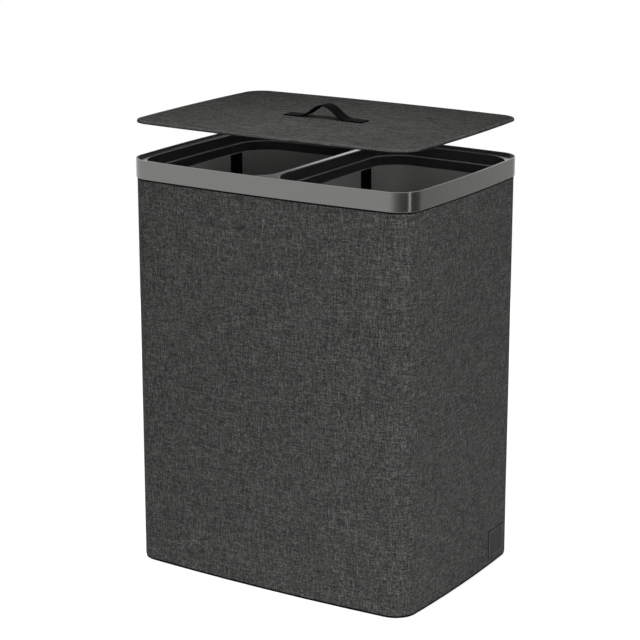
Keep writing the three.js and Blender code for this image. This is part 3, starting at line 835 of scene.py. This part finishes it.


# The hoop's edge tape: a hem whose light colour also paints the edge's highlight
def make_mouth_highlight_tape(name, outline):
    end, top, covered = HOOP_TOP - MOUTH_HIGHLIGHT_TAPE_REACH, HOOP_TOP + MOUTH_HIGHLIGHT_TAPE, HOOP_TOP - OVERLAP
    outer, inner = BIN_CLEARANCE - MOUTH_HIGHLIGHT_TAPE, HOOP_INSIDE + MOUTH_HIGHLIGHT_TAPE
    corners = [
        (outer, end, 0), (outer, top, MOUTH_HIGHLIGHT_TAPE), (inner, top, MOUTH_HIGHLIGHT_TAPE), (inner, end, 0),
        (HOOP_INSIDE - OVERLAP, end, 0), (HOOP_INSIDE - OVERLAP, covered, 0),
        (BIN_CLEARANCE + OVERLAP, covered, 0), (BIN_CLEARANCE + OVERLAP, end, 0),
    ]
    return ring_piece(name + "_mouth_highlight_tape", outline, corners, LINING, name, "lining_fabric")


def make_bag(name, outline):
    inside = BAG_INSET + BAG_THICKNESS
    floor = BAG_BOTTOM + BAG_THICKNESS
    first, *middle, last = BAG_LEVELS
    outer = rounded([
        (BAG_INSET + BAG_FOOT_REACH, BAG_BOTTOM, 0), (BAG_INSET, BAG_BOTTOM, BAG_FOOT_RADIUS),
        (BAG_INSET, first, 0),
    ])
    inner = rounded([
        (inside, first, 0), (inside, floor, BAG_FOOT_RADIUS), (inside + BAG_FOOT_REACH, floor, 0),
    ])
    hem = rounded([
        (BAG_INSET, last, 0), (BAG_INSET, BAG_TOP, BAG_HEM_RADIUS),
        (inside, BAG_TOP, BAG_HEM_RADIUS), (inside, last, 0),
    ])
    outside_wall = [(BAG_INSET, level) for level in middle]
    inside_wall = [(inside, level) for level in reversed(middle)]
    mesh = bmesh.new()
    close_ends(mesh, loft(mesh, outline, [*outer, *outside_wall, *hem, *inside_wall, *inner], warp=bag_sag))
    bag = finished(name + "_hanging_bag", mesh, LINING, name, "lining_fabric", name + "_bag")
    # Cut as one strip for the walls and a bottom sewn below it
    around, deep = length_round(outline), BAG_TOP - BAG_BOTTOM
    around * deep + area_inside(outline, BAG_INSET)


def make_base(name, outline):
    profile = rounded([
        (BASE_INSET + BASE_MARGIN, BASE_BOTTOM, 0), (BASE_INSET, BASE_BOTTOM, BASE_EDGE),
        (BASE_INSET, BASE_TOP, BASE_EDGE), (BASE_INSET + BASE_MARGIN, BASE_TOP, 0),
    ])
    mesh = bmesh.new()
    close_ends(mesh, loft(mesh, outline, profile))
    finished(name + "_covered_base", mesh, LINING, name, "lining_fabric", name + "_base_board")


def outer_stations(side, middle):
    """The outer wall's outline across one strap."""
    radius = SHORT_SIDE_RADIUS - OPENING_INSET
    ends = [(side * middle + sign * STRAP_WIDTH / 2) / radius for sign in (-1, 1)]
    stations = arc(SHORT_SIDE_CENTRE, radius, *ends, STRAP_STEPS, ended=True)
    return [(side * place, side * out) for place, out in stations]


def bar_stations(side, middle):
    """The cross bar's outline across one strap."""
    x = CROSS_BAR_WIDTH / 2
    start, end = (complex(x, side * middle + sign * STRAP_WIDTH / 2) for sign in (1, -1))
    return [(side * place, side * out) for place, out in line(start, end, STRAP_STEPS, ended=True)]


def make_bag_stitches(name, outline, side):
    """Rows round the bag at its foot and under the hoop, and a seam up the wall at the cross bar."""
    rounds = [on_outline(outline, BAG_INSET, level) for level in BAG_ROUND_LEVELS]
    stitched(name + "_bag_round_stitches", rounds, name, "lining_fabric", closed=True)
    stations = [bar_stations(side, middle)[0] for middle in (-BAG_SEAM_WIDTH / 2, BAG_SEAM_WIDTH / 2)]
    seams = [upright_row(station, BAG_INSET, BAG_LEVELS, bag_sag) for station in stations]
    stitched(name + "_bag_seam_stitches", seams, name, "lining_fabric")


def make_straps(name, side):
    rows = []
    for end, middle in (("front", -STRAP_MIDDLE), ("back", STRAP_MIDDLE)):
        for wall, across in (("outer", outer_stations), ("middle", bar_stations)):
            stations = across(side, middle)
            strip(
                f"{name}_strap_{wall}_{end}", stations, STRAP_OUTSIDE, STRAP_FACE, STRAP_LEVELS,
                WEBBING, name, "black_webbing", f"{name}_webbing_{wall}_{end}", warp=bag_sag,
            )
            for station in (stations[1], stations[-2]):
                rows.append(upright_row(station, STRAP_FACE, STRAP_LEVELS, bag_sag))
    spacing = STRAP_STITCH_SPACING
    stitched(name + "_strap_stitches", rows, name, "black_webbing", spacing=spacing, thread=BLACK_THREAD)


def make_bin(name, side):
    outline = opening_outline(side)
    make_hoop(name, outline)
    mouth_highlight_tape = make_mouth_highlight_tape(name, outline)
    make_bag(name, outline)
    make_base(name, outline)
    make_bag_stitches(name, outline, side)
    make_straps(name, side)


# Lid: lining, cloth and folded binding round the board, and the webbing handle
LID_INSET = 1 * MM
CLOTH_INSET = 1.9 * MM
WRAP_INSET = 1.2 * MM
WRAP_RADIUS = 1.6 * MM
TOP_STITCH_INSET = WRAP_INSET + 2 * WRAP_RADIUS
BINDING_RISE = 1.5 * MM
BINDING_TOP = LID_BOTTOM + BINDING_RISE
BINDING_FOLD = 3 * MM
BINDING_HEM = LID_INSET + BINDING_FOLD
BINDING_FOLD_RADIUS = 0.9 * MM
BINDING_TOP_RADIUS = 0.4 * MM
BINDING_HEM_RADIUS = 0.2 * MM
UNDER_STITCH_SHARE = 0.7
UNDER_STITCH_INSET = LID_INSET + UNDER_STITCH_SHARE * BINDING_FOLD
HANDLE_WIDTH = 25 * MM
HANDLE_THICKNESS = 1.6 * MM
SLIT_MIDDLE = 70 * MM
SLIT_CLEARANCE = 0.6 * MM
SLIT_HALF_WIDTH = HANDLE_THICKNESS / 2 + SLIT_CLEARANCE
SLIT_HALF_LENGTH = HANDLE_WIDTH / 2 + SLIT_CLEARANCE

# Lid cloth: its unevenness, and the grid of points that carries it, clear of edge, corners and slits
LID_EASE = 0.25 * MM
LID_WAVES = (16, 40)
LID_GRID = 14 * MM
LID_GRID_MARGIN = 10 * MM
LID_CORNER_MARGIN = 8 * MM
LID_EVEN_EDGE = 6 * MM
SLIT_MARGIN = 3 * MM
MERGE_DISTANCE = 0.01 * MM
# What the triangulation is asked for: triangles inside its outlines, and points this close made one
INSIDE_OUTLINES = 1
SAME_POINT = 1e-7


def in_slit(point, spare=0):
    off_middle = abs(abs(point.x) - SLIT_MIDDLE)
    return off_middle < SLIT_HALF_WIDTH + spare and abs(point.y) < SLIT_HALF_LENGTH + spare


def slit_outline(side):
    corners = ((1, -1), (1, 1), (-1, 1), (-1, -1))
    middle = side * SLIT_MIDDLE
    return [Vector((middle + x * SLIT_HALF_WIDTH, y * SLIT_HALF_LENGTH)) for x, y in corners]


def lid_grid():
    """Points of a square grid over the lid."""
    centre, *_ = corner_arc(0, CORNER_RADIUS)
    halves = (HALF_WIDTH - LID_GRID_MARGIN, HALF_DEPTH - LID_GRID_MARGIN)
    columns, rows = (math.floor(half / LID_GRID) for half in halves)
    points = []
    for column in range(-columns, columns + 1):
        for row in range(-rows, rows + 1):
            point = Vector((column * LID_GRID, row * LID_GRID))
            beyond = complex(abs(point.x) - centre.real, abs(point.y) - centre.imag)
            at_corner = min(beyond.real, beyond.imag) > 0
            if at_corner and abs(beyond) > CORNER_RADIUS - LID_CORNER_MARGIN:
                continue
            if not in_slit(point, SLIT_MARGIN):
                points.append(point)
    return points


def lid_sheet(mesh, inset, height, ease):
    """A flat cloth over the lid, which lies a little uneven inside its edge."""
    edge = [Vector(point[:2]) for point in on_outline(HAMPER_OUTLINE, inset, height)]
    points, edges = [], []
    for loop in (edge, slit_outline(1), slit_outline(-1)):
        first, count = len(points), len(loop)
        points += loop
        edges += [(first + step, first + (step + 1) % count) for step in range(count)]
    points += lid_grid()
    flat, _, triangles, *_ = delaunay_2d_cdt(points, edges, [], INSIDE_OUTLINES, SAME_POINT)
    even = inset + LID_EVEN_EDGE
    verts = []
    for point in flat:
        near = min(HALF_WIDTH - even - abs(point.x), HALF_DEPTH - even - abs(point.y))
        lift = ease * ripple(complex(*point), height, *LID_WAVES)
        verts.append(mesh.verts.new((*point, height + lift * min(max(near / LID_GRID, 0), 1))))
    solid = []
    for corners in triangles:
        middle = sum((flat[corner] for corner in corners), Vector((0, 0))) / len(corners)
        if not in_slit(middle):
            solid.append(corners)
    flat_faces(mesh, verts, solid)


def make_lid_sheet(name, bottom, top, ease, edge, material, slot, node):
    """A cloth of the lid with its two slits. The edge profile leads from its upper to its lower face."""
    mesh = bmesh.new()
    lid_sheet(mesh, edge[-1][0], bottom, 0)
    lid_sheet(mesh, edge[0][0], top, ease)
    loft(mesh, HAMPER_OUTLINE, edge)
    for side in (1, -1):
        corners = slit_outline(side)
        lower, upper = ([mesh.verts.new((*corner, level)) for corner in corners] for level in (bottom, top))
        for step in range(len(corners)):
            mesh.faces.new((lower[step - 1], lower[step], upper[step], upper[step - 1]))
    bmesh.ops.remove_doubles(mesh, verts=mesh.verts, dist=MERGE_DISTANCE)
    sheet = finished(name, mesh, material, "lid", slot, node)
    *_, turned_down, _ = distances([complex(*point) for point in edge])
    area_inside(HAMPER_OUTLINE, -turned_down)


def make_lid_cloths():
    wrapped = rounded([
        (TOP_STITCH_INSET, CLOTH_TOP, 0), (WRAP_INSET, CLOTH_TOP, WRAP_RADIUS),
        (WRAP_INSET, BINDING_TOP, 0), (CLOTH_INSET, BINDING_TOP, 0), (CLOTH_INSET, CLOTH_BOTTOM, 0),
    ])
    cut = [(CLOTH_INSET, LINING_TOP), (CLOTH_INSET, LINING_BOTTOM)]
    make_lid_sheet(
        "lid_top_cloth", CLOTH_BOTTOM, CLOTH_TOP, LID_EASE, wrapped, LID_CLOTH, "lid_fabric", "lid_cloth"
    )
    make_lid_sheet(
        "lid_under_lining", LINING_BOTTOM, LINING_TOP, 0, cut, LINING, "lining_fabric", "lid_lining"
    )


def make_lid_edge():
    hidden, fold_under = CLOTH_INSET - OVERLAP, LINING_BOTTOM - OVERLAP
    corners = [
        (LID_INSET, LID_BOTTOM, BINDING_FOLD_RADIUS), (LID_INSET, BINDING_TOP, BINDING_TOP_RADIUS),
        (hidden, BINDING_TOP, 0), (hidden, fold_under, 0),
        (BINDING_HEM, fold_under, 0), (BINDING_HEM, LID_BOTTOM, BINDING_HEM_RADIUS),
    ]
    outline = HAMPER_OUTLINE
    ring_piece("lid_bound_edge", outline, corners, BINDING, "lid", "black_binding", "lid_edge_binding")
    # The lower row is set into the binding, so that it clears the ledge
    above = on_outline(outline, TOP_STITCH_INSET, CLOTH_TOP)
    below = on_outline(outline, UNDER_STITCH_INSET, LID_BOTTOM + STITCH_SET_IN)
    stitched("lid_edge_stitches", [above, below], "lid", "lid_fabric", closed=True)


# Handle: a strap from two tails under the lid up through the slits, flat at its ends, then an arch
HANDLE_TAIL = 22 * MM
HANDLE_BEND = 1.3 * MM
HANDLE_FLAT_END = 44 * MM
HANDLE_RISE = 20 * MM
# The arch's four guide points, as shares of the flat end's reach and of the rise
ARCH_GUIDES = ((1, 0), (0.6, 0), (0.36, 1), (0, 1))
ARCH_STEPS = 16
HANDLE_EDGE = 0.9 * HANDLE_THICKNESS / 2
HANDLE_EDGE_STEPS = 3


def handle_path():
    """The strap's middle line from one tail's end to the other's, as x + z * 1j."""
    over = CLOTH_TOP + SEAT_GAP + HANDLE_THICKNESS / 2
    under = LINING_BOTTOM - SEAT_GAP - HANDLE_THICKNESS / 2
    tail = rounded([
        (SLIT_MIDDLE + HANDLE_TAIL, under, 0), (SLIT_MIDDLE, under, HANDLE_BEND),
        (SLIT_MIDDLE, over, HANDLE_BEND), (HANDLE_FLAT_END, over, 0),
    ])
    half = [complex(*point) for point in tail]
    guides = [complex(HANDLE_FLAT_END * reach, over + HANDLE_RISE * rise) for reach, rise in ARCH_GUIDES]
    for share in even_steps(0, 1, ARCH_STEPS)[1:]:
        rest = 1 - share
        weights = (rest**3, 3 * rest**2 * share, 3 * rest * share**2, share**3)
        half.append(sum(guide * weight for guide, weight in zip(guides, weights)))
    return half + [-point.conjugate() for point in reversed(half[:-1])]


def make_handle():
    path = handle_path()
    half_width, half_thick = HANDLE_WIDTH / 2, HANDLE_THICKNESS / 2
    signs = ((-1, -1), (1, -1), (1, 1), (-1, 1))
    corners = [(wide * half_width, thick * half_thick, HANDLE_EDGE) for wide, thick in signs]
    section = rounded(corners, closed=True, steps=HANDLE_EDGE_STEPS)
    rings = []
    for before, point, after in zip(path[:1] + path, path, path[1:] + path[-1:]):
        across = (after - before) / abs(after - before) * 1j
        places = [(wide, point + across * thick) for wide, thick in section]
        rings.append([(place.real, wide, place.imag) for wide, place in places])
    mesh = bmesh.new()
    widths = [wide + half_width for wide, _ in section + section[:1]]
    rings = skin(mesh, rings, widths, distances(path))
    for ring in (rings[0], rings[-1]):
        mesh.faces.new(ring)
    finished("lid_webbing_handle", mesh, WEBBING, "lid", "black_webbing", "lid_handle")


# Turned pieces that repeat at four corners
CORNERS = [f"{end}_{side}" for end in ("front", "back") for side in ("left", "right")]
FOOT_RADIUS = 12 * MM
FOOT_FLAT_RADIUS = 6 * MM
FOOT_EDGE = 0.6 * MM
FOOT_TOP_EDGE = 0.3 * MM
RIVET_RADIUS = 3.4 * MM
RIVET_FLAT_RADIUS = 0.5 * MM
RIVET_STEM_RADIUS = 1.5 * MM
RIVET_HEAD = 1.1 * MM
RIVET_EDGE = 0.6 * MM
RIVET_UNDER_EDGE = 0.1 * MM


def four_of(name, node, corners, material, body, slot):
    """A piece turned about the upright axis, from (radius, height, fillet) corners, for four nodes."""
    circle = arc(0j, 0, 0, 2 * math.pi, ROUND_STEPS)
    mesh = bmesh.new()
    close_ends(mesh, loft(mesh, circle, [(-radius, height) for radius, height in rounded(corners)]))
    nodes = [f"{node}_{corner}" for corner in CORNERS]
    middle = sum(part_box(nodes[0]), Vector()) / 2
    values = {"Spread X": 2 * abs(middle.x), "Spread Y": 2 * abs(middle.y), "Material": material}
    grown(name, mesh_data(name, mesh), FOUR_CORNERS, values, body, slot, *nodes)


def make_feet():
    bottom, top = levels_of("foot_front_left")
    corners = [
        (FOOT_FLAT_RADIUS, bottom, 0), (FOOT_RADIUS, bottom, FOOT_EDGE),
        (FOOT_RADIUS, top, FOOT_TOP_EDGE), (FOOT_FLAT_RADIUS, top, 0),
    ]
    four_of("rubber_feet", "foot", corners, RUBBER, "hamper", "rubber")


def make_rivets():
    bottom, top = levels_of("anchor_rivet_front_left")
    head_top = bottom + RIVET_HEAD
    corners = [
        (RIVET_FLAT_RADIUS, bottom, 0), (RIVET_RADIUS, bottom, RIVET_EDGE),
        (RIVET_RADIUS, head_top, RIVET_UNDER_EDGE), (RIVET_STEM_RADIUS, head_top, 0),
        (RIVET_STEM_RADIUS, top, 0), (RIVET_FLAT_RADIUS, top, 0),
    ]
    four_of("anchor_rivets", "anchor_rivet", corners, ZINC_STEEL, "lid", "zinc_steel")


def dress(material, *names):
    """Gives the frame's own nodes that stay in view their material."""
    for name in names:
        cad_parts[name].material_slots[0].material = material


def dress_frame_nodes():
    # The base tray's near-black edge also paints the contact shade along the foot
    dress(DULL_PLASTIC, "base_tray", "handle_anchor_left", "handle_anchor_right")
    dress(DULL_PLASTIC, *(f"corner_post_{corner}" for corner in CORNERS))
    dress(ZINC_STEEL, *(f"base_screw_{corner}" for corner in CORNERS))
    dress(FIBREBOARD, "front_board", "back_board", "left_board", "right_board", "lid_board")


# Studio: a white floor, an even white room, two soft lamps and a narrow beam
FLOOR_RADIUS = 1.7
FLOOR_SIDES = 96
# Light that the floor adds of itself, for the camera and in gloss, so that it meets the white room
FLOOR_GLOW = 0.68
# The room's light on the object itself
ROOM_LIGHT = 0.35
# A soft key from the right, a weaker one from behind, and a narrow beam from above on the lid's front half
LAMPS = {
    "key_softbox": ("AREA", (1.78, -1.78, 0.96), (0, 0, 0.33), {"energy": 36.0, "size": 1.8}),
    "back_softbox": ("AREA", (-1.5, 2.0, 1.1), (0, 0, 0.33), {"energy": 16.0, "size": 1.8}),
    "lid_spot": (
        "SPOT",
        (0.06, -0.65, 3.5),
        (0.06, -0.22, 0.72),
        {"energy": 205.0, "spot_size": math.radians(20), "spot_blend": 1.0, "shadow_soft_size": 0.15},
    ),
}
# Brightness of the room as gloss shows it, by the angle from the front towards the right side, in degrees
ROOM_STOPS = (
    (-180, 1.0), (-32, 1.0), (-14, 0.93), (-6, 0.8), (6, 0.55), (16, 0.38), (28, 0.24), (40, 0.16),
    (60, 0.11), (72, 0.1), (73.5, 1.8), (79.5, 1.8), (81, 0.1), (100, 0.1), (114, 0.14), (126, 0.21),
    (136, 0.31), (142, 0.47), (148, 0.54), (158, 0.58), (180, 0.9),
)
# Above the horizon gloss shows an even bright ceiling. It fades in between these rises of the view.
CEILING_SHINE = 1.4
CEILING_FADE = (-0.08, 0.12)


def make_floor():
    mesh = bmesh.new()
    bmesh.ops.create_circle(mesh, cap_ends=True, radius=FLOOR_RADIUS, segments=FLOOR_SIDES)
    data = bpy.data.meshes.new("floor")
    mesh.to_mesh(data)
    mesh.free()
    material, tree = new_material("white_floor")
    paint = add(tree, "ShaderNodeBsdfDiffuse", {"Color": linear("#f6f6f6")})
    path = add(tree, "ShaderNodeLightPath").outputs
    rays = {0: path["Is Camera Ray"], 1: path["Is Glossy Ray"]}
    seen = add(tree, "ShaderNodeMath", rays, operation="MAXIMUM")
    strength = add(tree, "ShaderNodeMath", {0: seen, 1: FLOOR_GLOW}, operation="MULTIPLY")
    glow = add(tree, "ShaderNodeEmission", {"Strength": strength})
    shader = add(tree, "ShaderNodeAddShader", {0: paint, 1: glow})
    add(tree, "ShaderNodeOutputMaterial", {"Surface": shader})
    data.materials.append(material)
    placed("floor", data)


def make_room():
    world = bpy.data.worlds.new("room")
    bpy.context.scene.world = world
    world.use_nodes = True
    tree = world.node_tree
    tree.nodes.clear()
    view = add(tree, "ShaderNodeTexCoord").outputs["Generated"]
    east, north, rise = add(tree, "ShaderNodeSeparateXYZ", {0: view}).outputs
    forward = add(tree, "ShaderNodeMath", {0: north, 1: -1.0}, operation="MULTIPLY")
    angle = add(tree, "ShaderNodeMath", {0: east, 1: forward}, operation="ARCTAN2")
    to_share = {0: angle, 1: 0.5 / math.pi, 2: 0.5}
    turn = add(tree, "ShaderNodeMath", to_share, operation="MULTIPLY_ADD")
    walls = add(tree, "ShaderNodeValToRGB", {"Fac": turn})
    set_stops(walls, [(degrees / 360 + 0.5, (level, level, level, 1)) for degrees, level in ROOM_STOPS])
    fade = {"Value": rise, "From Min": CEILING_FADE[0], "From Max": CEILING_FADE[1]}
    above = add(tree, "ShaderNodeMapRange", fade)
    all_round = add(tree, "ShaderNodeMix", {"Factor": above, "A": walls, "B": CEILING_SHINE})
    path = add(tree, "ShaderNodeLightPath").outputs
    by_gloss = {"Factor": path["Is Glossy Ray"], "A": ROOM_LIGHT, "B": all_round}
    glossy = add(tree, "ShaderNodeMix", by_gloss)
    level = add(tree, "ShaderNodeMix", {"Factor": path["Is Camera Ray"], "A": glossy, "B": 1.0})
    background = add(tree, "ShaderNodeBackground", {"Color": linear("#ffffff"), "Strength": level})
    add(tree, "ShaderNodeOutputWorld", {"Surface": background})


def make_lamps():
    for name, (kind, place, aim, settings) in LAMPS.items():
        data = bpy.data.lights.new(name, kind)
        for setting, value in settings.items():
            setattr(data, setting, value)
        lamp = placed(name, data)
        lamp.location = place
        lamp.rotation_euler = (Vector(place) - Vector(aim)).to_track_quat("Z", "Y").to_euler()
        lamp.visible_glossy = False
        lamp.visible_camera = False


# Camera at the photograph's angle
CAMERA_PLACE = Vector((1.7065, -2.7218, 1.2801))
CAMERA_AZIMUTH = math.radians(32.25)
CAMERA_PITCH = math.radians(15.39)
FOCAL_PIXELS = 2096.8
IMAGE_PIXELS = 640
SENSOR = 36


def make_camera():
    data = bpy.data.cameras.new("camera")
    data.sensor_width = SENSOR
    data.lens = FOCAL_PIXELS / IMAGE_PIXELS * SENSOR
    camera = placed("camera", data)
    camera.location = CAMERA_PLACE
    camera.rotation_euler = (math.pi / 2 - CAMERA_PITCH, 0, CAMERA_AZIMUTH)
    bpy.context.scene.camera = camera


make_camera()
make_cover()
make_top_shade_tape()
make_seam()
make_patch()
make_band()
make_frame()
make_bin("right_bin", 1)
make_bin("left_bin", -1)
make_lid_cloths()
make_lid_edge()
make_handle()
make_feet()
make_rivets()
dress_frame_nodes()
make_floor()
make_room()
make_lamps()
bpy.context.scene.view_settings.view_transform = "Standard"
